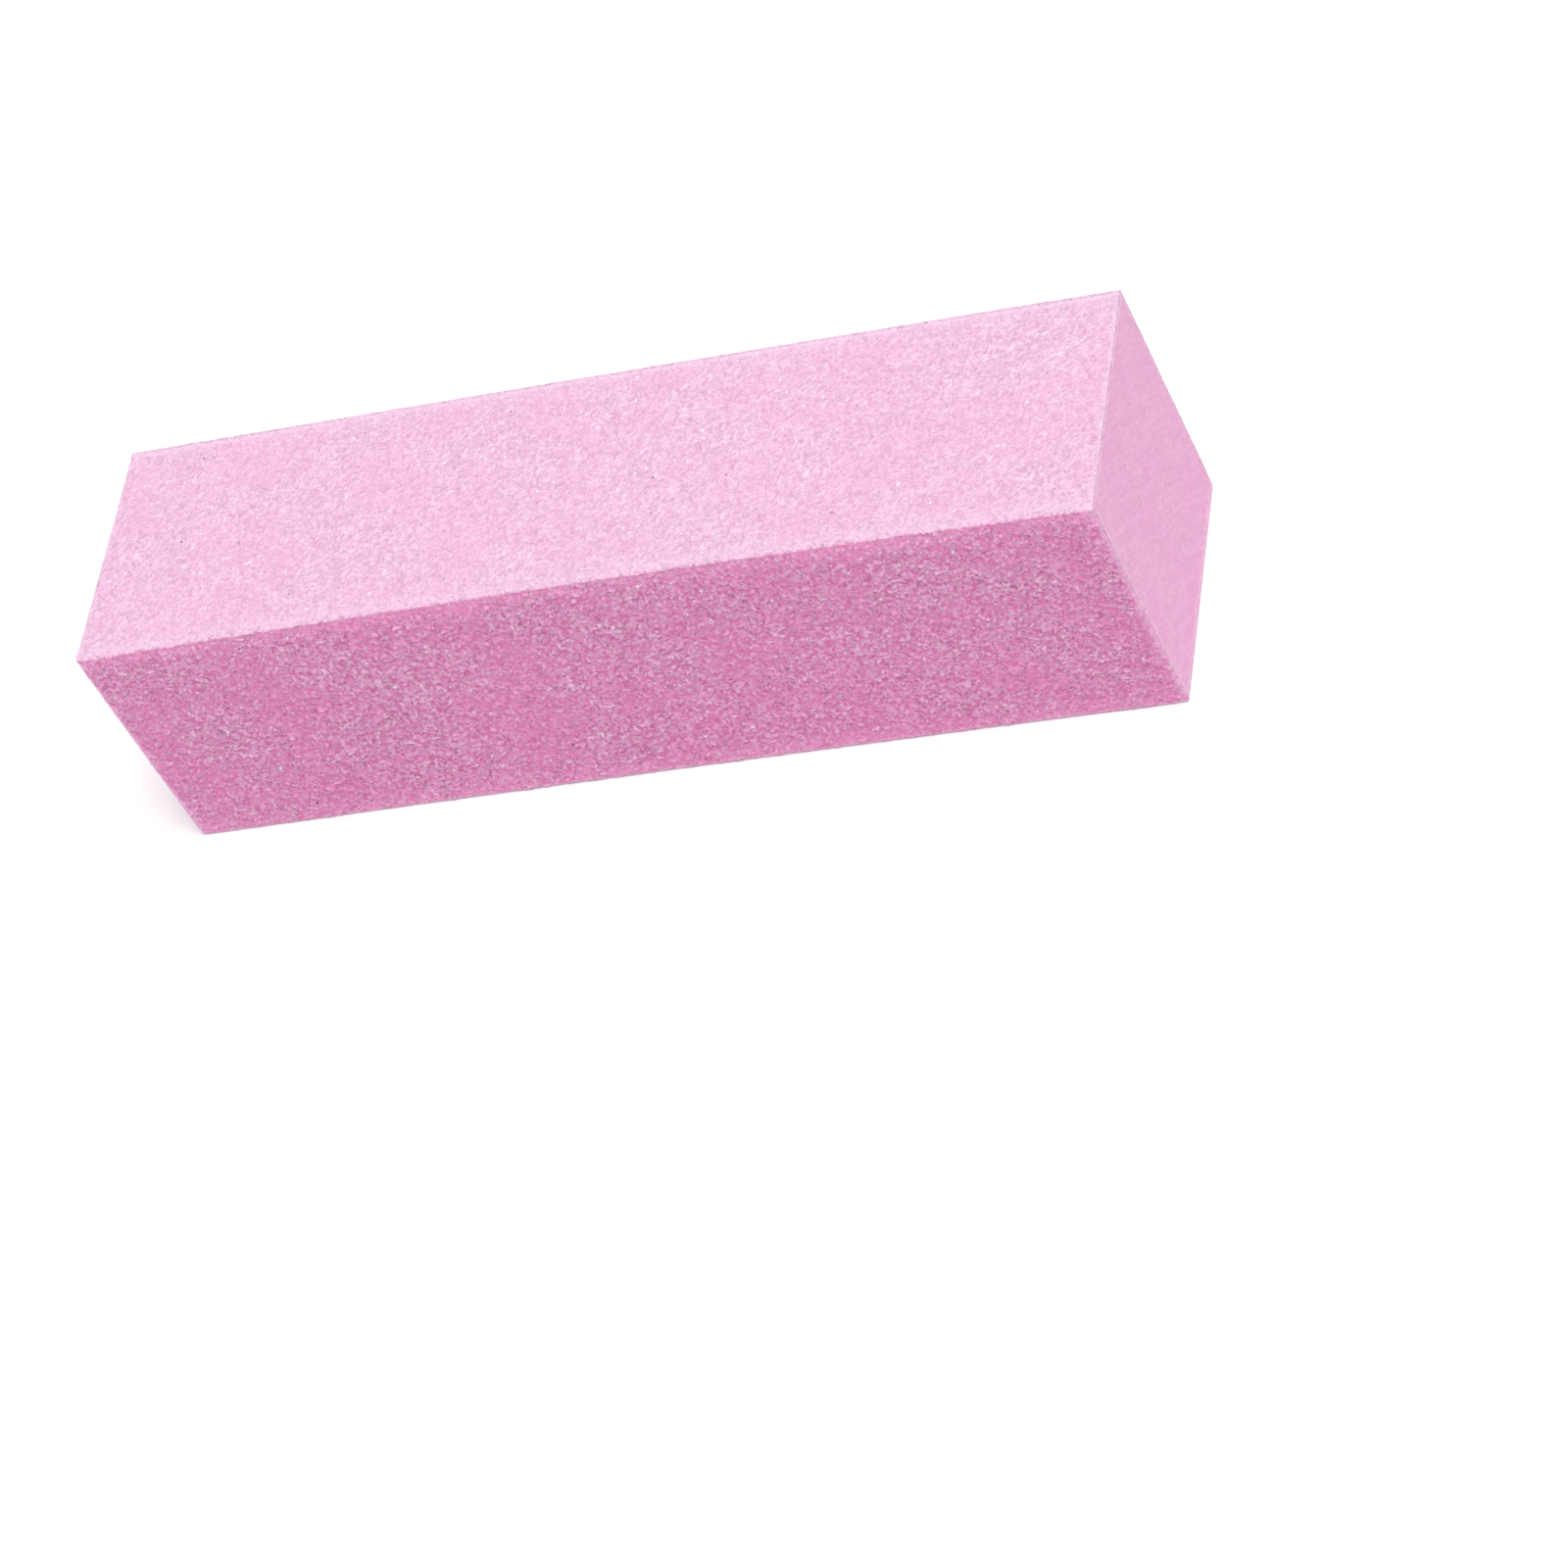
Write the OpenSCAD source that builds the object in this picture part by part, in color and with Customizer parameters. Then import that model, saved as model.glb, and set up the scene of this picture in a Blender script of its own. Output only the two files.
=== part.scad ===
/* [Block] */
// Length of the block, between its two cut ends
block_length = 95; // [50:1:120]
// Width of the block over both coarse faces
block_width = 25; // [15:0.5:40]
// Height of the block over both fine faces
block_height = 26; // [15:0.5:40]
// Radius of the four long edges
edge_radius = 0.5; // [0.2:0.1:0.6]

/* [Abrasive coats] */
// Thickness of the coarse grit coat on the front and the back
coarse_coat = 0.6; // [0.3:0.05:1]
// Thickness of the fine grit coat on the top and the bottom
fine_coat = 0.4; // [0.2:0.05:0.8]
// Thickness of the bond film that glues each coat to the foam
bond_film = 0.15; // [0.05:0.05:0.3]

/* [Hidden] */
// The fine coats go on the foam sheet first and the coarse coats cover its cut sides,
// so the coarse coats run the full height and the fine coats stop at their bond films.
foam_width = block_width - 2 * (coarse_coat + bond_film);
foam_height = block_height - 2 * (fine_coat + bond_film);
$fn = 48;

// Cross-section of the whole block, seen along its length: Y across and Z up.
module block_section() {
    inner_width = block_width - 2 * edge_radius;
    inner_height = block_height - 2 * edge_radius;
    square([block_width, inner_height], center = true);
    square([inner_width, block_height], center = true);
    for (side = [-1, 1], level = [-1, 1])
        translate([side * inner_width / 2, level * inner_height / 2])
            circle(r = edge_radius);
}

// Extrudes the part of a cross-section that lies inside the block's outline along the whole
// block, which stands on Z = 0 with its length along X.
module along_block() {
    translate([0, 0, block_height / 2])
        rotate([90, 0, 90])
            linear_extrude(height = block_length, center = true)
                intersection() {
                    block_section();
                    children();
                }
}

// Cross-section of one flat layer, between two heights above the middle of the block.
module layer_section(width, inner, outer) {
    translate([-width / 2, inner])
        square([width, outer - inner]);
}

// Bond film on the foam's upper face.
module fine_bond_layer() {
    along_block()
        layer_section(foam_width, foam_height / 2, foam_height / 2 + bond_film);
}

// Fine coat on top of its bond film.
module fine_coat_layer() {
    along_block()
        layer_section(foam_width, foam_height / 2 + bond_film, block_height / 2);
}

// Bond film down the front side, over the cut edges of the fine coats.
module coarse_bond_layer() {
    along_block()
        rotate(90)
            layer_section(block_height, foam_width / 2, foam_width / 2 + bond_film);
}

// Coarse coat down the front side, which holds the two rounded long edges.
module coarse_coat_layer() {
    along_block()
        rotate(90)
            layer_section(block_height, foam_width / 2 + bond_film, block_width / 2);
}

module flip_height() {
    translate([0, 0, block_height])
        mirror([0, 0, 1])
            children();
}

module foam_core() {
    color("pink")
        along_block()
            square([foam_width, foam_height], center = true);
}

module bond_film_top() {
    color("mistyrose") fine_bond_layer();
}

module bond_film_bottom() {
    color("mistyrose") flip_height() fine_bond_layer();
}

module bond_film_front() {
    color("mistyrose") coarse_bond_layer();
}

module bond_film_back() {
    color("mistyrose") mirror([0, 1, 0]) coarse_bond_layer();
}

module fine_grit_coat_top() {
    color("lightpink") fine_coat_layer();
}

module fine_grit_coat_bottom() {
    color("lightpink") flip_height() fine_coat_layer();
}

module coarse_grit_coat_front() {
    color("hotpink") coarse_coat_layer();
}

module coarse_grit_coat_back() {
    color("hotpink") mirror([0, 1, 0]) coarse_coat_layer();
}

foam_core();
bond_film_top();
bond_film_bottom();
bond_film_front();
bond_film_back();
fine_grit_coat_top();
fine_grit_coat_bottom();
coarse_grit_coat_front();
coarse_grit_coat_back();
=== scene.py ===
"""Nail buffer block: a foam bar with fine and coarse grit coats on its four long faces.

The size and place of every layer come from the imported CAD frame. Each grit coat is rebuilt as a closed shell
whose outer face is a bed of grains. The foam core and the bond films are rebuilt as bars whose cut ends show
cells, saw marks and beads of resin. Lengths are in metres.
"""

import math

import bpy
import numpy as np
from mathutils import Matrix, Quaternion, Vector


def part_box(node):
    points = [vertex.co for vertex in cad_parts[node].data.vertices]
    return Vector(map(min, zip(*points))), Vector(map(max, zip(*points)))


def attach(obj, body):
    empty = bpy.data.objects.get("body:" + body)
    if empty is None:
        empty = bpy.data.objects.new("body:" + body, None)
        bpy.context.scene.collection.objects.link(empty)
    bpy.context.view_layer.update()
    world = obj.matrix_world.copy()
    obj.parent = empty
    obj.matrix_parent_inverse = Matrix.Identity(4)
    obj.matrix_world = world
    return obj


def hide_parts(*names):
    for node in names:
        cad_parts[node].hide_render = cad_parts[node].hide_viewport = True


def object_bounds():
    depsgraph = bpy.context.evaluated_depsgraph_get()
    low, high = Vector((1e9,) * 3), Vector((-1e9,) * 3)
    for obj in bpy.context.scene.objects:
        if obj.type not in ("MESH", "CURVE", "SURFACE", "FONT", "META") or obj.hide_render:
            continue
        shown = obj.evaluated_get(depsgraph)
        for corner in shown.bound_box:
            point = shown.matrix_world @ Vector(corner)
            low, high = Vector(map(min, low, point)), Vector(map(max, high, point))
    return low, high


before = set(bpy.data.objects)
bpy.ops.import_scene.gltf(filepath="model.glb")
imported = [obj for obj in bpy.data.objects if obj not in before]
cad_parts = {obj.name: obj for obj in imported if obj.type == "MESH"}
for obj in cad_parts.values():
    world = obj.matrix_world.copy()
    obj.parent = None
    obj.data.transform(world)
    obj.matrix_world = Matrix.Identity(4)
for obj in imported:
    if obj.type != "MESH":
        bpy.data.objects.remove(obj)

MM = 0.001
cad_low, cad_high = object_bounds()
CENTRE = (cad_low + cad_high) / 2
HALF_LENGTH = (cad_high.x - cad_low.x) / 2

CAMERA_AZIMUTH = 31.2  # degrees, the camera stands in front and to the right
CAMERA_ELEVATION = 45.4
CAMERA_ROLL = 30.9
CAMERA_DISTANCE = 469.9 * MM
CAMERA_LENS = 122.4  # mm, on a 36 mm sensor
AIM_RIGHT = 12.4 * MM  # how far the camera aims to the right of the block's centre
AIM_DOWN = 18.6 * MM

PITCH = 0.165 * MM  # between vertices on the grit coats and the cut ends
CAP_LAYERS = 4  # rows of faces across the thickness of a coat's cut end
BOW_STEPS = 12  # stretches along the hidden faces, enough for them to follow the block's bow
SHARP_ANGLE = math.radians(62)  # shading breaks at edges sharper than this
CROWN = 0.3 * MM  # how far the top rises in the middle of the block's length
HOLLOW = 0.2 * MM  # how far the front and the back sink there

EDGE_RADIUS = 0.5 * MM  # of the coarse coats' long edges, as in CAD
SQUARE = 0.001 * MM  # the radius of an edge that is left square
LIP_REACH = 0.15 * MM  # how far the coarse coats' lips reach in over the bond films
LIP_RELIEF = 0.3  # the share of a coarse coat's relief that is left on its lips, past the rounded edges
FILM_GAP = 0.04 * MM  # how far short of those lips' undersides the upright films stop
FOOT_FADE = 0.3 * MM  # how far from its foot a coat's relief reaches its full depth
SHOULDER_WIDTH = 3 * MM  # how far in from a coarse coat's rounded edge its face begins to fall away
# The brighter, pinker band along a long edge is partly the coat's own colour and partly painted light.
CREST_WIDTH = 2 * MM  # how far in from a long edge the face is brighter and pinker
# The pale rim is partly a rubbed edge and partly painted light.
RIM_FADE = 0.5 * MM  # over what width the pale rim of a long edge comes up to its full strength
WORN_END = 0.8 * MM  # how far in from a cut end the grains are rubbed down
GRID_WEAR = 0.6  # the most wear that a material is told of on a grit face, where a cut end carries 1
RUBBED = 0.6  # the share of a grain's height that full wear takes away
FRAY = 0.35  # how unevenly the worn ends and the pale rims begin
FRAY_CELL = 0.5 * MM  # the size of that unevenness
SWELL_ACROSS = 4 * MM  # the size of the broad swells in a grit face
SWELL_ALONG = 6 * MM
STREAKING = 0.25  # how much higher or lower the grains stand in a streak
CUT_SPREAD = (-0.04 * MM, 0.03 * MM)  # how far along the block a coat's cut ends stray

# Painted glints: near-white colour on a few grain tips, standing in for the light that their facets catch.
PAINTED_GLINT = (0.97, 0.86, 0.93)
SPECK = (0.25, 0.05, 0.12)
SPECK_FROM = 0.9997  # the random tint, from 0 to 1, above which a fleck is a dark speck

FLOOR_REACH = 3.0  # from the middle of the floor to each side
SKY_STRENGTH = 0.62
SUN_FROM = (0.24, -0.18, 0.93)
SUN_STRENGTH = 2.43
SUN_SOFTNESS = 35  # degrees

# A grit's colours are those of the gaps between grains (ground), their tips (pale), scattered grains (cool),
# broad patches (blush), the face's long edges (crest), the rounded edges and lips (rim), the rubbed ends
# (worn) and the coat's own cut end (cut). Ground and pale are partly the resin's and grains' own colours and
# partly painted shade in the gaps and painted light on the tips. Crest and rim are partly the coat's own
# colour and partly painted light along the long edges.
COARSE = {
    "grain": 0.36 * MM, "crowding": 1.3, "peaking": 1.5, "relief": 0.2 * MM, "swell": 0.05 * MM,
    "streak_across": 0.8 * MM, "streak_along": 2.6 * MM, "rim_reach": -0.1 * MM, "shoulder": 0.1 * MM,
    "fleck": 0.24 * MM, "steepness": 1.4, "ground_and_shade": (0.62, 0.145, 0.36), "pale": (1.0, 0.65, 0.90),
    "cool": (0.80, 0.41, 0.70), "blush": (0.80, 0.22, 0.51), "crest": (1.0, 0.39, 0.69),
    "rim": (0.84, 0.57, 0.74), "worn": (0.86, 0.45, 0.69), "cut": (0.73, 0.40, 0.60),
}
FINE = {
    "grain": 0.30 * MM, "crowding": 1.4, "peaking": 1.2, "relief": 0.11 * MM, "swell": 0.04 * MM,
    "streak_across": 1.2 * MM, "streak_along": 1.6 * MM, "rim_reach": 0.5 * MM, "shoulder": 0.0,
    "fleck": 0.22 * MM, "steepness": 1.0, "ground_and_shade": (0.67, 0.36, 0.55), "pale": (0.98, 0.71, 0.86),
    "cool": (0.82, 0.53, 0.73), "blush": (0.82, 0.43, 0.65), "crest": (0.82, 0.54, 0.70),
    "rim": (0.82, 0.57, 0.73), "worn": (0.80, 0.55, 0.71), "cut": (0.74, 0.41, 0.61),
}
FOAM = {
    "cell": 0.42 * MM, "crowding": 1.3, "cell_depth": 0.04 * MM, "saw_pitches": (0.9 * MM, 2.3 * MM),
    "saw_depth": 0.03 * MM, "saw_slant": 0.8, "saw_wander": 0.7 * MM, "wander_cell": 5 * MM,
    "patch_cell": 2.5 * MM, "uneven_cell": 3.5 * MM, "unevenness": 0.05 * MM, "plain_rim": 0.3 * MM,
    "pale": (0.77, 0.43, 0.63), "deep": (0.66, 0.33, 0.52), "blush": (0.74, 0.34, 0.56),
}
RESIN = {
    "bead": 0.05 * MM, "lump": 0.6 * MM, "shake": 0.03 * MM,
    "deep": (0.72, 0.40, 0.59), "pale": (0.79, 0.49, 0.67),
}
SIDES = {
    "top": {"across_axis": (0, 1, 0), "out_axis": (0, 0, 1)},
    "bottom": {"across_axis": (0, -1, 0), "out_axis": (0, 0, -1)},
    "front": {"across_axis": (0, 0, 1), "out_axis": (0, -1, 0)},
    "back": {"across_axis": (0, 0, -1), "out_axis": (0, 1, 0)},
}


# ---------------------------------------------------------------- noise and grains


def even_steps(low, high):
    """Places from low to high, about one PITCH apart."""
    return np.linspace(low, high, round((high - low) / PITCH) + 1)


def lattice_steps(places, cell):
    """For each place, the lattice cell that it is in and its eased share of the way across that cell."""
    at = (places - places.min()) / cell
    first = np.floor(at).astype(int)
    share = at - first
    return first, share * share * (3 - 2 * share)


def smooth_noise(across, along, cell_across, cell_along, rng):
    """Even noise from -1 to 1 at every crossing of two lines of places, with one random value per cell."""
    row, row_share = lattice_steps(across, cell_across)
    column, column_share = lattice_steps(along, cell_along)
    lattice = rng.uniform(-1, 1, (row.max() + 2, column.max() + 2))
    rows = lattice[row] * (1 - row_share)[:, None] + lattice[row + 1] * row_share[:, None]
    return rows[:, column] * (1 - column_share) + rows[:, column + 1] * column_share


def grain_bed(rows, columns, grain, crowding, rng):
    """A bed of angular grains on a grid: each vertex's height, and the number of the grain that it is on.

    Heights run from 0 in the gaps to 1 on the highest tips. grain is the usual width of a grain, and crowding
    how many grains there are for each square of that width. Grains differ in size, height, turn, squeeze and
    slant.
    """
    count = int(rows * columns * (PITCH / grain) ** 2 * crowding)
    row = rng.uniform(0, rows - 1, count)
    column = rng.uniform(0, columns - 1, count)
    radius = grain / PITCH / 2 * rng.uniform(0.75, 1.6, count)
    peak = rng.uniform(0.35, 1.0, count)
    turn = rng.uniform(0, math.pi, count)
    squeeze = rng.uniform(0.6, 1.0, count)
    slant_down, slant_over = rng.normal(0, 0.22, (2, count))
    height = np.zeros((rows, columns))
    owner = np.zeros((rows, columns), int)
    reach = math.ceil(radius.max())
    for row_step in range(-reach, reach + 1):
        for column_step in range(-reach, reach + 1):
            r = np.rint(row).astype(int) + row_step
            c = np.rint(column).astype(int) + column_step
            down, over = (r - row) / radius, (c - column) / radius
            long_way = np.abs(over * np.cos(turn) + down * np.sin(turn))
            short_way = np.abs(down * np.cos(turn) - over * np.sin(turn)) / squeeze
            flank = 1 - np.maximum(long_way, short_way) ** 2
            share = np.clip(peak * flank * (1 + slant_down * down + slant_over * over), 0, 1)
            on_grid = (r >= 0) & (r < rows) & (c >= 0) & (c < columns) & (share > 0)
            r, c, share, number = r[on_grid], c[on_grid], share[on_grid], np.flatnonzero(on_grid)
            np.maximum.at(height, (r, c), share)
            top = share >= height[r, c]
            owner[r[top], c[top]] = number[top]
    return height, owner


# ---------------------------------------------------------------- meshes


def quads(index, flip=False):
    """Faces between rows and columns of vertex numbers. A side that shrinks to a point is dropped."""
    corners = [index[:-1, :-1], index[:-1, 1:], index[1:, 1:], index[1:, :-1]]
    faces = np.stack(corners, -1).reshape(-1, 4)
    if flip:
        faces = faces[:, ::-1]
    return [list(dict.fromkeys(face)) for face in faces.tolist()]


def bowed(vertices):
    """The vertices after the block's slight bow: the top is crowned and the coarse faces are hollow."""
    middle = 1 - (vertices[:, 0] / HALF_LENGTH) ** 2
    half_width = cad_high.y
    vertices[:, 1] *= 1 - HOLLOW / half_width * middle
    vertices[:, 2] *= 1 + CROWN / cad_high.z * middle
    return vertices


def make_piece(name, shape, material, node):
    """A mesh object that rides on the block and stands for one CAD node."""
    vertices, faces, attributes = shape
    mesh = bpy.data.meshes.new(name)
    mesh.from_pydata(bowed(vertices).tolist(), [], faces)
    for attribute, values in attributes.items():
        layer = mesh.attributes.new(attribute, "FLOAT", "POINT")
        layer.data.foreach_set("value", np.ascontiguousarray(values, np.float32))
    mesh.shade_smooth()
    mesh.set_sharp_from_angle(angle=SHARP_ANGLE)
    mesh.materials.append(material)
    piece = bpy.data.objects.new(name, mesh)
    bpy.context.scene.collection.objects.link(piece)
    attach(piece, "root")
    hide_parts(node)
    return piece


def coat_profile(face):
    """The line across a coat's outer face, from its foot on one side to its foot on the other.

    Gives each row's place across the face and out from the block's middle, its outward normal across and out,
    how far it is in from the flat face's nearer long edge, and how far along the line from the nearer foot.
    """
    flat = face["half_width"] - face["radius"]
    arc = face["radius"] * math.pi / 2
    half_line = flat + arc + (face["outer"] - face["radius"] - face["foot"])
    edge = even_steps(flat, half_line)[1:]
    from_middle = np.concatenate([-edge[::-1], even_steps(-flat, flat), edge])
    side, away = np.sign(from_middle), np.abs(from_middle)
    angle = np.clip((away - flat) / face["radius"], 0, math.pi / 2)
    drop = np.maximum(away - flat - arc, 0)
    across = side * (np.minimum(away, flat) + face["radius"] * np.sin(angle))
    out = face["outer"] - face["radius"] * (1 - np.cos(angle)) - drop
    return across, out, side * np.sin(angle), np.cos(angle), flat - away, half_line - away


def coat_relief(face, look, across, along, inset, to_foot, rng):
    """How far a coat's outer vertices stand out, mostly less than 0, their grains and their traits."""
    height, owner = grain_bed(len(across), len(along), look["grain"], look["crowding"], rng)
    streak = smooth_noise(across, along, look["streak_across"], look["streak_along"], rng)
    swell = smooth_noise(across, along, SWELL_ACROSS, SWELL_ALONG, rng)
    fray = FRAY * smooth_noise(across, along, FRAY_CELL, FRAY_CELL, rng)
    wear = np.clip(1 - (HALF_LENGTH - np.abs(along[None])) / WORN_END - fray, 0, 1)
    # rim and crest mark the pale rims and the bright pink band of the long edges, which are partly painted
    # light
    rim = np.clip((look["rim_reach"] - inset[:, None]) / RIM_FADE - fray, 0, 1)
    crest = np.clip(1 - inset[:, None] / CREST_WIDTH, 0, 1) * np.ones(len(along))
    height = height ** look["peaking"] * (1 - RUBBED * np.maximum(wear, rim)) * (1 + STREAKING * streak)

    shoulder = look["shoulder"] * np.clip(1 - inset / SHOULDER_WIDTH, 0, 1) ** 2
    at_foot = np.clip((to_foot - face["wall"]) / FOOT_FADE, 0, 1)
    on_lip = np.clip(1 + inset / (face["radius"] * math.pi / 2), LIP_RELIEF, 1)
    relief = look["relief"] * (height - 1) + look["swell"] * (swell - 1) / 2 - shoulder[:, None]
    relief *= (at_foot * on_lip)[:, None]
    return relief, owner, {"tip": height, "wear": GRID_WEAR * wear, "rim": rim, "crest": crest}


def coat_shape(face, look, seed):
    """Vertices, faces and attributes of one coat, a closed shell: an outer grid, two cut ends and a back."""
    rng = np.random.default_rng(seed)
    across, out, lean_across, lean_out, inset, to_foot = coat_profile(face)
    along = even_steps(-HALF_LENGTH, HALF_LENGTH)
    rows, columns = len(across), len(along)
    relief, owner, traits = coat_relief(face, look, across, along, inset, to_foot, rng)

    grid = np.zeros((rows, columns, 3))
    grid[..., 0] = along[None]
    grid[..., 1] = across[:, None] + relief * lean_across[:, None]
    grid[..., 2] = out[:, None] + relief * lean_out[:, None]
    ends = [cut_end(grid[:, column], face, rng) for column in (0, -1)]
    stations = np.linspace(0, columns - 1, BOW_STEPS + 1).astype(int)
    back = np.stack([back_row(rows - 2, along[station], face) for station in stations[1:-1]])
    vertices = np.concatenate([part.reshape(-1, 3) for part in (grid, *ends, back)])

    traits["tone"] = rng.uniform(0, 1, owner.max() + 1)[owner]
    off_grid = len(vertices) - rows * columns
    cut = {
        "tip": rng.uniform(0.2, 0.8, off_grid), "tone": rng.uniform(0.2, 0.8, off_grid),
        "wear": np.ones(off_grid), "rim": np.zeros(off_grid), "crest": np.zeros(off_grid),
    }
    attributes = {name: np.concatenate([traits[name].ravel(), cut[name]]) for name in cut}
    return in_block_axes(vertices, face), coat_faces(rows, columns, stations), attributes


def back_row(count, length_place, face):
    """A row of vertices across the back of a coat, at one place along the block."""
    half_back = face["half_width"] - max(face["inner"] - face["foot"], PITCH)
    row = np.zeros((count, 3))
    row[:, 0] = length_place
    row[:, 1] = np.linspace(-half_back, half_back, count)
    row[:, 2] = face["inner"]
    return row


def cut_end(outline, face, rng):
    """The vertices of one cut end, layer by layer from under its outline down to the back of the coat."""
    back = back_row(len(outline) - 2, outline[0, 0], face)
    share = (np.arange(1, CAP_LAYERS + 1) / CAP_LAYERS)[:, None, None]
    layers = outline[None, 1:-1] * (1 - share) + back[None] * share
    layers[:-1, :, 0] += rng.uniform(*CUT_SPREAD, layers[:-1, :, 0].shape)
    return layers


def coat_faces(rows, columns, stations):
    """The faces of a coat shell: outer grid, cut ends, back, and the two strips beside its long feet.

    stations are the columns of the outer grid that the rows of vertices across the back stand under.
    """
    grid = np.arange(rows * columns).reshape(rows, columns)
    cut_count = CAP_LAYERS * (rows - 2)
    faces = quads(grid)
    last_layers = []
    for number, column in enumerate((0, columns - 1)):
        cap = np.repeat(grid[None, :, column], CAP_LAYERS + 1, axis=0)
        cut = rows * columns + number * cut_count + np.arange(cut_count)
        cap[1:, 1:-1] = cut.reshape(CAP_LAYERS, rows - 2)
        faces += quads(cap, flip=number == 1)
        last_layers.append(cap[-1, 1:-1])
    middle = rows * columns + 2 * cut_count + np.arange((len(stations) - 2) * (rows - 2))
    back = np.stack([last_layers[0], *middle.reshape(-1, rows - 2), last_layers[1]])
    faces += quads(back)
    for first, last, near, far in zip(stations, stations[1:], back, back[1:]):
        faces.append([near[0], far[0], *grid[0, first : last + 1][::-1]])
        faces.append([*grid[-1, first : last + 1], far[-1], near[-1]])
    return faces


def in_block_axes(vertices, face):
    """Vertices given as length, across the face and out from the block's middle, in the block's own axes."""
    axes = np.array([(1, 0, 0), face["across_axis"], face["out_axis"]], float)
    return vertices @ axes + np.array(CENTRE)


def bar_shape(low, high, end_relief, shake, seed):
    """Vertices, faces and attributes of a bar whose two cut ends are fine grids, joined by rings.

    end_relief gives an end's depth below the cut plane and its attributes, and shake is how far its vertices
    stray sideways.
    """
    rng = np.random.default_rng(seed)
    across, up = even_steps(low.y, high.y), even_steps(low.z, high.z)
    rows, columns = len(up), len(across)
    ends, traits = [], []
    for x, outward in ((low.x, -1), (high.x, 1)):
        depth, attributes = end_relief(across, up, outward, rng)
        end = np.zeros((rows, columns, 3))
        end[..., 0] = x - outward * depth
        end[..., 1], end[..., 2] = across[None], up[:, None]
        end[..., 1:] += rng.uniform(-shake, shake, (rows, columns, 2))
        ends.append(end.reshape(-1, 3))
        traits.append(attributes)
    left = np.arange(rows * columns).reshape(rows, columns)
    right = left + rows * columns
    border = np.array([*left[0], *left[1:, -1], *left[-1, -2::-1], *left[-2:0:-1, 0]])
    share = (np.arange(1, BOW_STEPS) / BOW_STEPS)[:, None, None]
    rings = (ends[0][border] * (1 - share) + ends[1][border] * share).reshape(-1, 3)
    ring_numbers = 2 * rows * columns + np.arange(len(rings)).reshape(-1, len(border))
    loops = np.vstack([border, ring_numbers, border + rows * columns])
    faces = quads(left, flip=True) + quads(right) + quads(np.hstack([loops, loops[:, :1]]))
    unseen = np.full(len(rings), 0.5)
    joined = {key: np.concatenate([*(trait[key].ravel() for trait in traits), unseen]) for key in traits[0]}
    return np.concatenate([*ends, rings]), faces, joined


def foam_relief(across, up, outward, rng):
    """Cut foam: open cells, faint parallel saw marks that slant one way, and a slight unevenness."""
    cells = grain_bed(len(up), len(across), FOAM["cell"], FOAM["crowding"], rng)[0]
    uneven = smooth_noise(up, across, FOAM["uneven_cell"], FOAM["uneven_cell"], rng)
    wander = smooth_noise(up, across, FOAM["wander_cell"], FOAM["wander_cell"], rng)
    patches = smooth_noise(up, across, FOAM["patch_cell"], FOAM["patch_cell"], rng)
    slanted = up[:, None] + outward * FOAM["saw_slant"] * across[None] + FOAM["saw_wander"] * wander
    close, broad = (np.sin(2 * math.pi * slanted / pitch) for pitch in FOAM["saw_pitches"])
    saw = (0.6 * close + 0.4 * broad) * (0.6 + 0.4 * patches)
    from_edge = np.minimum.outer(
        np.minimum(up - up[0], up[-1] - up), np.minimum(across - across[0], across[-1] - across)
    )
    depth = FOAM["cell_depth"] * cells
    depth += FOAM["saw_depth"] * (1 - saw) / 2 + FOAM["unevenness"] * (1 - uneven) / 2
    return depth * np.clip(from_edge / FOAM["plain_rim"], 0, 1), {"cells": cells, "saw": (saw + 1) / 2}


def film_relief(across, up, outward, rng):
    """Cut resin film: a bead that stands a little proud of the cut plane, in lumps."""
    lumps = (smooth_noise(up, across, RESIN["lump"], RESIN["lump"], rng) + 1) / 2
    return -RESIN["bead"] * lumps, {"lumps": lumps}


def mitred(vertices, inner):
    """An upright film's vertices, drawn in towards mid-height to slope under the coarse coats' lips."""
    from_inner = np.abs(vertices[:, 1]) - inner
    above_middle = (vertices[:, 2] - CENTRE.z) * (1 - (from_inner + FILM_GAP) / CENTRE.z)
    vertices[:, 2] = CENTRE.z + above_middle
    return vertices


# ---------------------------------------------------------------- material tools


def new_material(name):
    """A node material, its node tree and the tree's Principled shader."""
    material = bpy.data.materials.new(name)
    material.use_nodes = True
    return material, material.node_tree, material.node_tree.nodes["Principled BSDF"]


def set_inputs(node, values):
    """Sets a node's sockets, by name, to plain values."""
    for socket, value in values.items():
        node.inputs[socket].default_value = value


def feed(tree, sockets, values):
    """Connects each value to its socket, or sets the socket when the value is a plain number or triple."""
    for socket, value in zip(sockets, values):
        if isinstance(value, bpy.types.NodeSocket):
            tree.links.new(value, socket)
        elif isinstance(value, tuple) and len(socket.default_value) == 4:
            socket.default_value = (*value, 1)
        else:
            socket.default_value = value


def stored(tree, name):
    """A value that the mesh carries at each vertex."""
    node = tree.nodes.new("ShaderNodeAttribute")
    node.attribute_name = name
    return node.outputs["Fac"]


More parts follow.
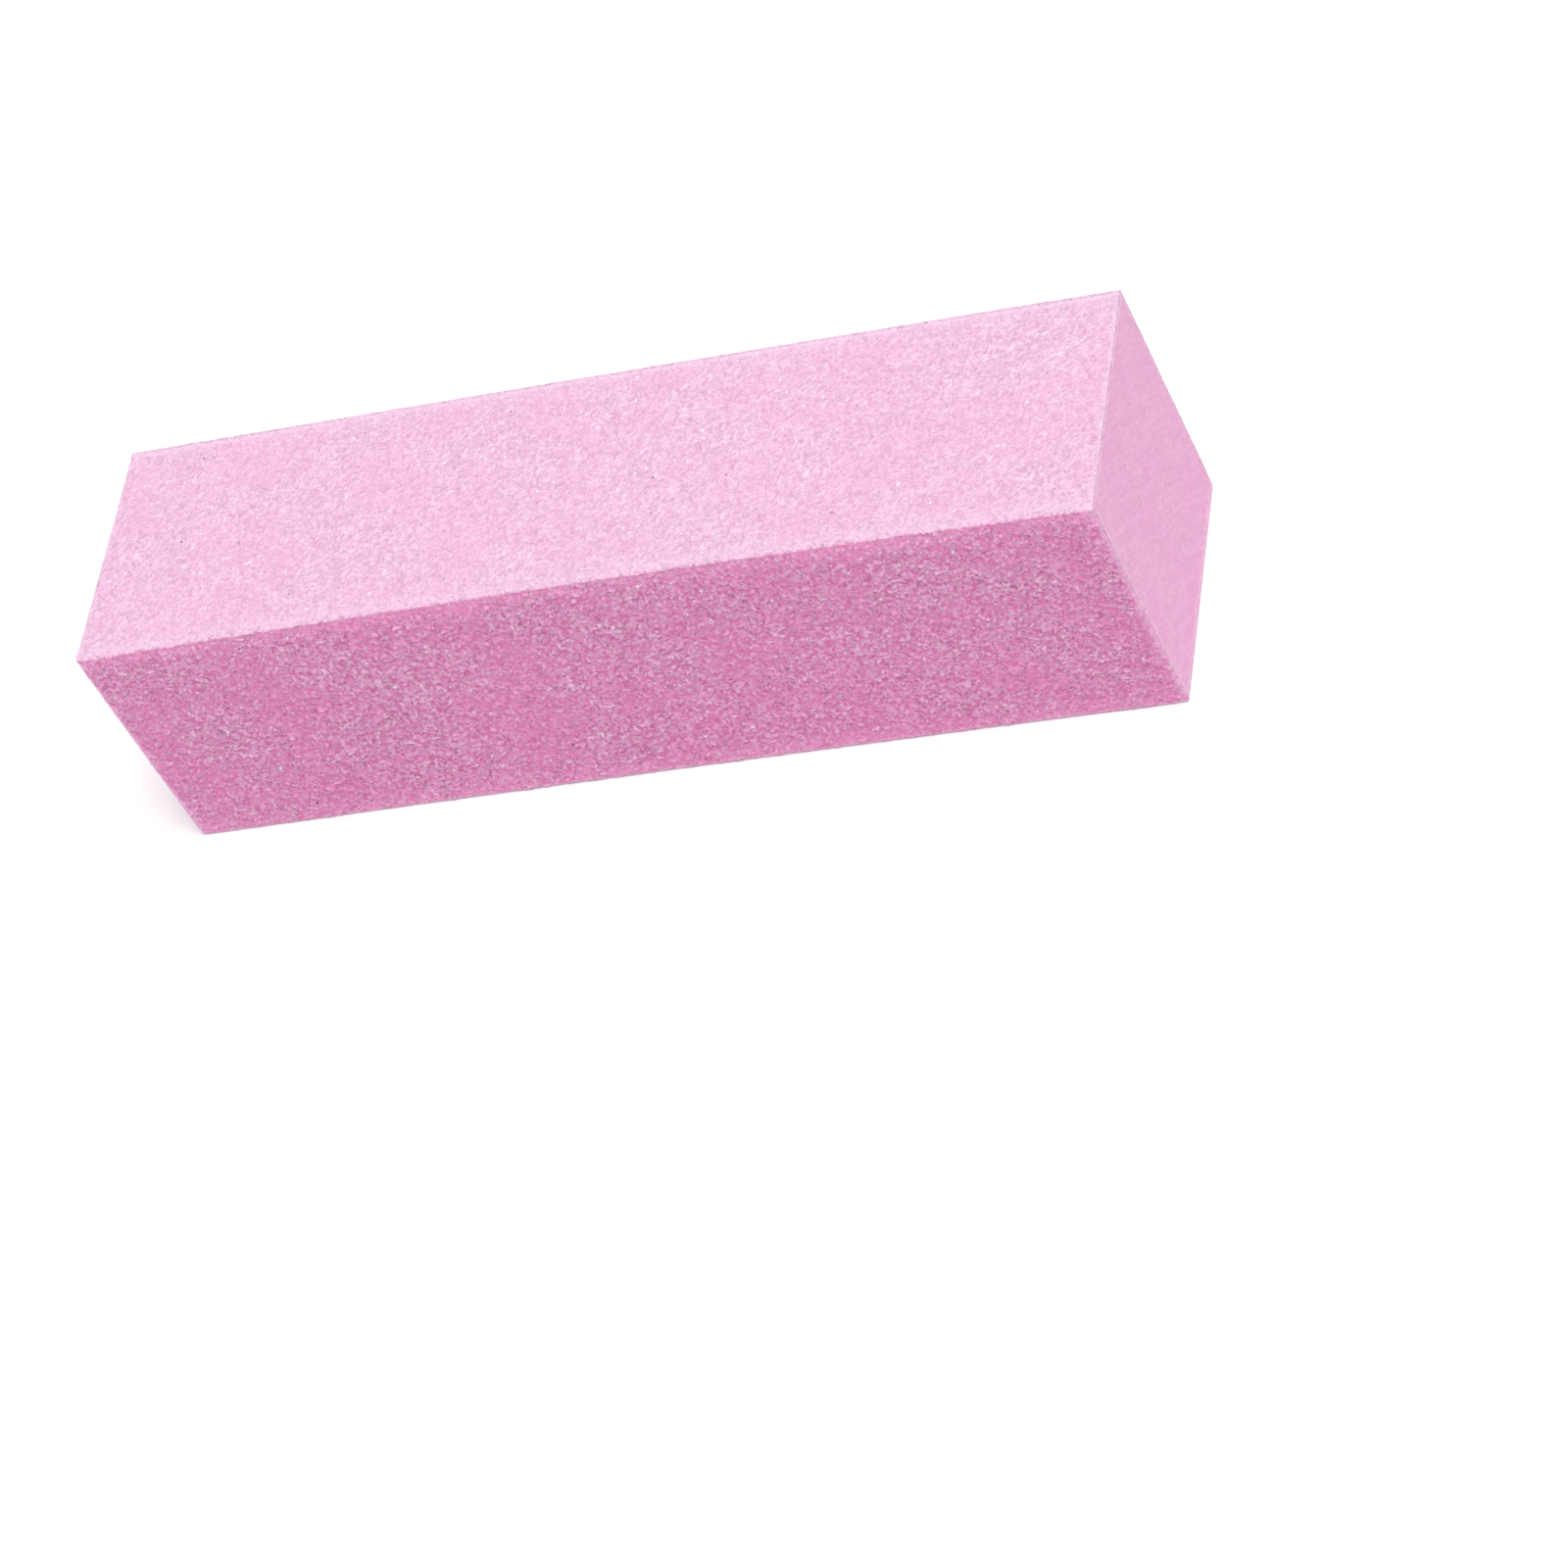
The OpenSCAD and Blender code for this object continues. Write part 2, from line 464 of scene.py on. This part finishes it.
def noise(tree, blob, detail=2.0, turn=(0, 0, 0)):
    """Noise in the block's own metres. blob is the size of one patch, all round or along each turned axis."""
    size = blob if isinstance(blob, tuple) else (blob, blob, blob)
    place = tree.nodes.new("ShaderNodeTexCoord")
    mapping = tree.nodes.new("ShaderNodeMapping")
    mapping.vector_type = "TEXTURE"
    set_inputs(mapping, {"Rotation": turn, "Scale": size})
    texture = tree.nodes.new("ShaderNodeTexNoise")
    set_inputs(texture, {"Scale": 1.0, "Detail": detail})
    tree.links.new(place.outputs["Object"], mapping.inputs["Vector"])
    tree.links.new(mapping.outputs["Vector"], texture.inputs["Vector"])
    return texture.outputs["Fac"]


def ramp(tree, value, low, high, to_low=0.0, to_high=1.0, easing="SMOOTHSTEP"):
    """A value carried from low..high to to_low..to_high, and held there."""
    node = tree.nodes.new("ShaderNodeMapRange")
    node.interpolation_type = easing
    set_inputs(node, {"From Min": low, "From Max": high, "To Min": to_low, "To Max": to_high})
    tree.links.new(value, node.inputs["Value"])
    return node.outputs["Result"]


def maths(tree, operation, first, second):
    """One sum or product of two values, either of which may be a plain number."""
    node = tree.nodes.new("ShaderNodeMath")
    node.operation = operation
    feed(tree, node.inputs, (first, second))
    return node.outputs["Value"]


def vector_maths(tree, operation, first, second):
    """One operation on two vectors, either of which may be a plain triple."""
    node = tree.nodes.new("ShaderNodeVectorMath")
    node.operation = operation
    feed(tree, node.inputs, (first, second))
    return node.outputs["Value" if operation == "DOT_PRODUCT" else "Vector"]


def mixture(tree, parts):
    """The sum of some values, each times its own weight."""
    total = 0.0
    for value, weight in parts:
        total = maths(tree, "ADD", total, maths(tree, "MULTIPLY", value, weight))
    return total


def blend(tree, share, first, second):
    """A colour between two, each a plain colour or another node's output."""
    node = tree.nodes.new("ShaderNodeMix")
    node.data_type = "RGBA"
    tree.links.new(share, node.inputs["Factor"])
    feed(tree, (node.inputs[6], node.inputs[7]), (first, second))
    return node.outputs[2]


def bump(tree, shader, height, depth):
    """Relief on a shader, as deep as depth where height goes from 0 to 1."""
    node = tree.nodes.new("ShaderNodeBump")
    set_inputs(node, {"Distance": depth, "Strength": 1.0})
    tree.links.new(height, node.inputs["Height"])
    tree.links.new(node.outputs["Normal"], shader.inputs["Normal"])


def facets(tree, size, steepness):
    """Small flat-topped grains: two random values for each, and its height in metres as a tilted plane."""
    place = tree.nodes.new("ShaderNodeTexCoord").outputs["Object"]
    cells = tree.nodes.new("ShaderNodeTexVoronoi")
    set_inputs(cells, {"Scale": 1 / size})
    tree.links.new(place, cells.inputs["Vector"])
    from_centre = vector_maths(tree, "SUBTRACT", place, cells.outputs["Position"])
    lean = vector_maths(tree, "SUBTRACT", cells.outputs["Color"], (0.5, 0.5, 0.5))
    height = maths(tree, "MULTIPLY", vector_maths(tree, "DOT_PRODUCT", from_centre, lean), steepness)
    parts = tree.nodes.new("ShaderNodeSeparateXYZ")
    tree.links.new(cells.outputs["Color"], parts.inputs["Vector"])
    return parts.outputs["X"], parts.outputs["Y"], height


# ---------------------------------------------------------------- materials


def grit_material(name, look):
    """Resin-bound grains: deep in the gaps, pale on the tips, partly as painted shade and light, with cool
    grains, painted glints, specks and wear.
    """
    material, tree, shader = new_material(name)
    tip, tone, wear = stored(tree, "tip"), stored(tree, "tone"), stored(tree, "wear")
    fleck, tint, height = facets(tree, look["fleck"], look["steepness"])
    bright = maths(tree, "MULTIPLY", fleck, fleck)
    grainy = mixture(tree, ((tip, 0.5), (tone, 0.25), (bright, 0.45)))
    # ground to pale by each grain's height, tone and random brightness: partly the grains' own tones, partly
    # painted shade in the gaps and painted light on the tips
    colour = blend(tree, ramp(tree, grainy, 0.15, 1.05, easing="LINEAR"), look["ground_and_shade"], look["pale"])
    colour = blend(tree, ramp(tree, tint, 0.5, 1, 0, 0.3), colour, look["cool"])
    colour = blend(tree, ramp(tree, noise(tree, 7 * MM, 3), 0.38, 0.68, 0, 0.4), colour, look["blush"])
    colour = edge_colours(tree, colour, wear, look)
    # painted glints: near-white on a few random facets of the higher grains, standing in for the light they
    # catch
    painted_glint = maths(tree, "MULTIPLY", ramp(tree, fleck, 0.955, 0.985), ramp(tree, tip, 0.3, 0.7))
    colour = blend(tree, painted_glint, colour, PAINTED_GLINT)
    colour = blend(tree, ramp(tree, tint, SPECK_FROM, SPECK_FROM + 0.0001, 0, 0.8), colour, SPECK)
    tree.links.new(colour, shader.inputs["Base Color"])
    tree.links.new(ramp(tree, grainy, 0.2, 1, 0.75, 0.4), shader.inputs["Roughness"])
    bump(tree, shader, height, 1.0)
    return material


def edge_colours(tree, colour, wear, look):
    """A grit face's colour with its bright long edges, rubbed ends, pale rims and cut ends laid over it.
    The bright long edges and the pale rims are partly the coat's own colour and partly painted light.
    """
    # painted light in part: the band along the long edges is brighter and pinker
    crest = ramp(tree, stored(tree, "crest"), 0, 1, 0, 0.4, "LINEAR")
    colour = blend(tree, crest, colour, look["crest"])
    patchy = noise(tree, 0.8 * MM, 3)
    rubbed = mixture(tree, ((wear, 1.0), (patchy, 0.8)))
    colour = blend(tree, ramp(tree, rubbed, 0.5, 1.0, 0, 0.85), colour, look["worn"])
    # pale rims on the rounded edges and lips: partly rubbed edges, partly painted light
    pale_rim = mixture(tree, ((stored(tree, "rim"), 1.0), (patchy, 0.4)))
    colour = blend(tree, ramp(tree, pale_rim, 0.3, 1.0, 0, 0.8), colour, look["rim"])
    return blend(tree, ramp(tree, wear, 0.65, 0.9, 0, 0.85), colour, look["cut"])


def foam_material():
    """Cut closed-cell foam: matte lilac pink with fine cells, slanting streaks and broad blushes."""
    material, tree, shader = new_material("cut_foam")
    cells, saw = stored(tree, "cells"), stored(tree, "saw")
    streak = noise(tree, (1 * MM, 0.25 * MM, 2.5 * MM), 3, turn=(math.radians(50), 0, 0))
    tooth = noise(tree, 0.22 * MM)
    mix = mixture(tree, ((cells, 0.25), (saw, -0.25), (streak, 0.5), (tooth, 0.8)))
    colour = blend(tree, ramp(tree, mix, 0.35, 0.85, easing="LINEAR"), FOAM["pale"], FOAM["deep"])
    blush = noise(tree, 8 * MM)
    colour = blend(tree, ramp(tree, blush, 0.4, 0.7, 0, 0.5), colour, FOAM["blush"])
    tree.links.new(colour, shader.inputs["Base Color"])
    tree.links.new(ramp(tree, tooth, 0.3, 0.7, 0.72, 0.92), shader.inputs["Roughness"])
    bump(tree, shader, tooth, 0.03 * MM)
    return material


def bond_material():
    """Cured resin film: close to the foam in colour, a little glossier, and soaked in unevenly."""
    material, tree, shader = new_material("bond_resin")
    soak = noise(tree, 0.7 * MM, 3)
    mix = mixture(tree, ((soak, 1.0), (stored(tree, "lumps"), 0.3)))
    colour = blend(tree, ramp(tree, mix, 0.4, 0.8), RESIN["deep"], RESIN["pale"])
    tree.links.new(colour, shader.inputs["Base Color"])
    tree.links.new(ramp(tree, mix, 0.4, 0.8, 0.65, 0.45), shader.inputs["Roughness"])
    bump(tree, shader, noise(tree, 0.15 * MM), 0.01 * MM)
    return material


def floor_material():
    """A plain pale floor with a trace of unevenness."""
    material, tree, shader = new_material("studio_floor")
    cloud = noise(tree, 200 * MM, 1)
    colour = blend(tree, cloud, (0.90, 0.90, 0.90), (0.92, 0.92, 0.92))
    tree.links.new(colour, shader.inputs["Base Color"])
    set_inputs(shader, {"Roughness": 0.9})
    return material


# ---------------------------------------------------------------- the block


def coat_face(node, side, radius, tuck, walled):
    """Where a coat is, measured from the block's middle, from its CAD node's box.

    tuck is how far its feet reach in past its back. A walled coat's long edges stand against its neighbours,
    and have no relief.
    """
    low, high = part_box(node)
    axes = SIDES[side]
    across, out = Vector(axes["across_axis"]), Vector(axes["out_axis"])
    inner, outer = sorted(((low - CENTRE).dot(out), (high - CENTRE).dot(out)))
    return {
        **axes, "half_width": abs((high - low).dot(across)) / 2, "inner": inner, "outer": outer,
        "foot": inner - tuck, "radius": radius, "wall": outer - inner if walled else 0,
    }


def build_coats():
    """The four grit coats: fine above and below, coarse in front and behind."""
    fine, coarse = grit_material("fine_grit", FINE), grit_material("coarse_grit", COARSE)
    for seed, side in enumerate(SIDES, start=11):
        if side in ("top", "bottom"):
            node = f"fine_grit_coat_{side}"
            face = coat_face(node, side, radius=SQUARE, tuck=0, walled=True)
            make_piece(f"fine_grit_{side}", coat_shape(face, FINE, seed), fine, node)
        else:
            node = f"coarse_grit_coat_{side}"
            face = coat_face(node, side, radius=EDGE_RADIUS, tuck=LIP_REACH, walled=False)
            make_piece(f"coarse_grit_{side}", coat_shape(face, COARSE, seed), coarse, node)


def build_core():
    """The bar of foam that everything is glued to."""
    low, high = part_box("foam_core")
    shape = bar_shape(low, high, foam_relief, 0, seed=31)
    bar = make_piece("cut_foam_bar", shape, foam_material(), "foam_core")


def build_films():
    """The four resin films between the foam and its coats."""
    resin = bond_material()
    for seed, side in enumerate(SIDES, start=41):
        node = f"bond_film_{side}"
        low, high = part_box(node)
        vertices, faces, attributes = bar_shape(low, high, film_relief, RESIN["shake"], seed)
        if side in ("front", "back"):
            vertices = mitred(vertices, min(abs(low.y), abs(high.y)))
        make_piece(f"resin_film_{side}", (vertices, faces, attributes), resin, node)


# ---------------------------------------------------------------- stage


def make_floor():
    """One large square at the height that the block lies at."""
    mesh = bpy.data.meshes.new("floor")
    corners = [(x * FLOOR_REACH, y * FLOOR_REACH, 0) for x, y in ((-1, -1), (1, -1), (1, 1), (-1, 1))]
    mesh.from_pydata(corners, [], [(0, 1, 2, 3)])
    mesh.materials.append(floor_material())
    floor = bpy.data.objects.new("floor", mesh)
    bpy.context.scene.collection.objects.link(floor)


def make_sun(name, towards, strength, softness):
    """A distant lamp in the direction towards, with soft shadows."""
    light = bpy.data.lights.new(name, "SUN")
    light.energy = strength
    light.angle = math.radians(softness)
    lamp = bpy.data.objects.new(name, light)
    lamp.rotation_mode = "QUATERNION"
    lamp.rotation_quaternion = Vector(towards).to_track_quat("Z", "Y")
    bpy.context.scene.collection.objects.link(lamp)


def make_light():
    """Even light from all round, and one broad lamp above and to the front right."""
    world = bpy.data.worlds.new("studio")
    world.use_nodes = True
    set_inputs(world.node_tree.nodes["Background"], {"Color": (1, 1, 1, 1), "Strength": SKY_STRENGTH})
    bpy.context.scene.world = world
    make_sun("key", SUN_FROM, SUN_STRENGTH, SUN_SOFTNESS)
    bpy.context.scene.view_settings.view_transform = "Standard"


def make_camera():
    """The camera, turned round the block, tilted down and rolled as in the photograph."""
    turn, tilt = math.radians(CAMERA_AZIMUTH), math.radians(CAMERA_ELEVATION)
    forward = Vector((-math.sin(turn) * math.cos(tilt), math.cos(turn) * math.cos(tilt), -math.sin(tilt)))
    rotation = forward.to_track_quat("-Z", "Y") @ Quaternion((0, 0, 1), -math.radians(CAMERA_ROLL))
    right, up = rotation @ Vector((1, 0, 0)), rotation @ Vector((0, 1, 0))
    data = bpy.data.cameras.new("camera")
    data.lens = CAMERA_LENS
    data.clip_start = 10 * MM
    camera = bpy.data.objects.new("camera", data)
    camera.rotation_mode = "QUATERNION"
    camera.rotation_quaternion = rotation
    camera.location = CENTRE - forward * CAMERA_DISTANCE + right * AIM_RIGHT - up * AIM_DOWN
    bpy.context.scene.collection.objects.link(camera)
    bpy.context.scene.camera = camera


make_camera()
make_light()
make_floor()
build_coats()
build_core()
build_films()
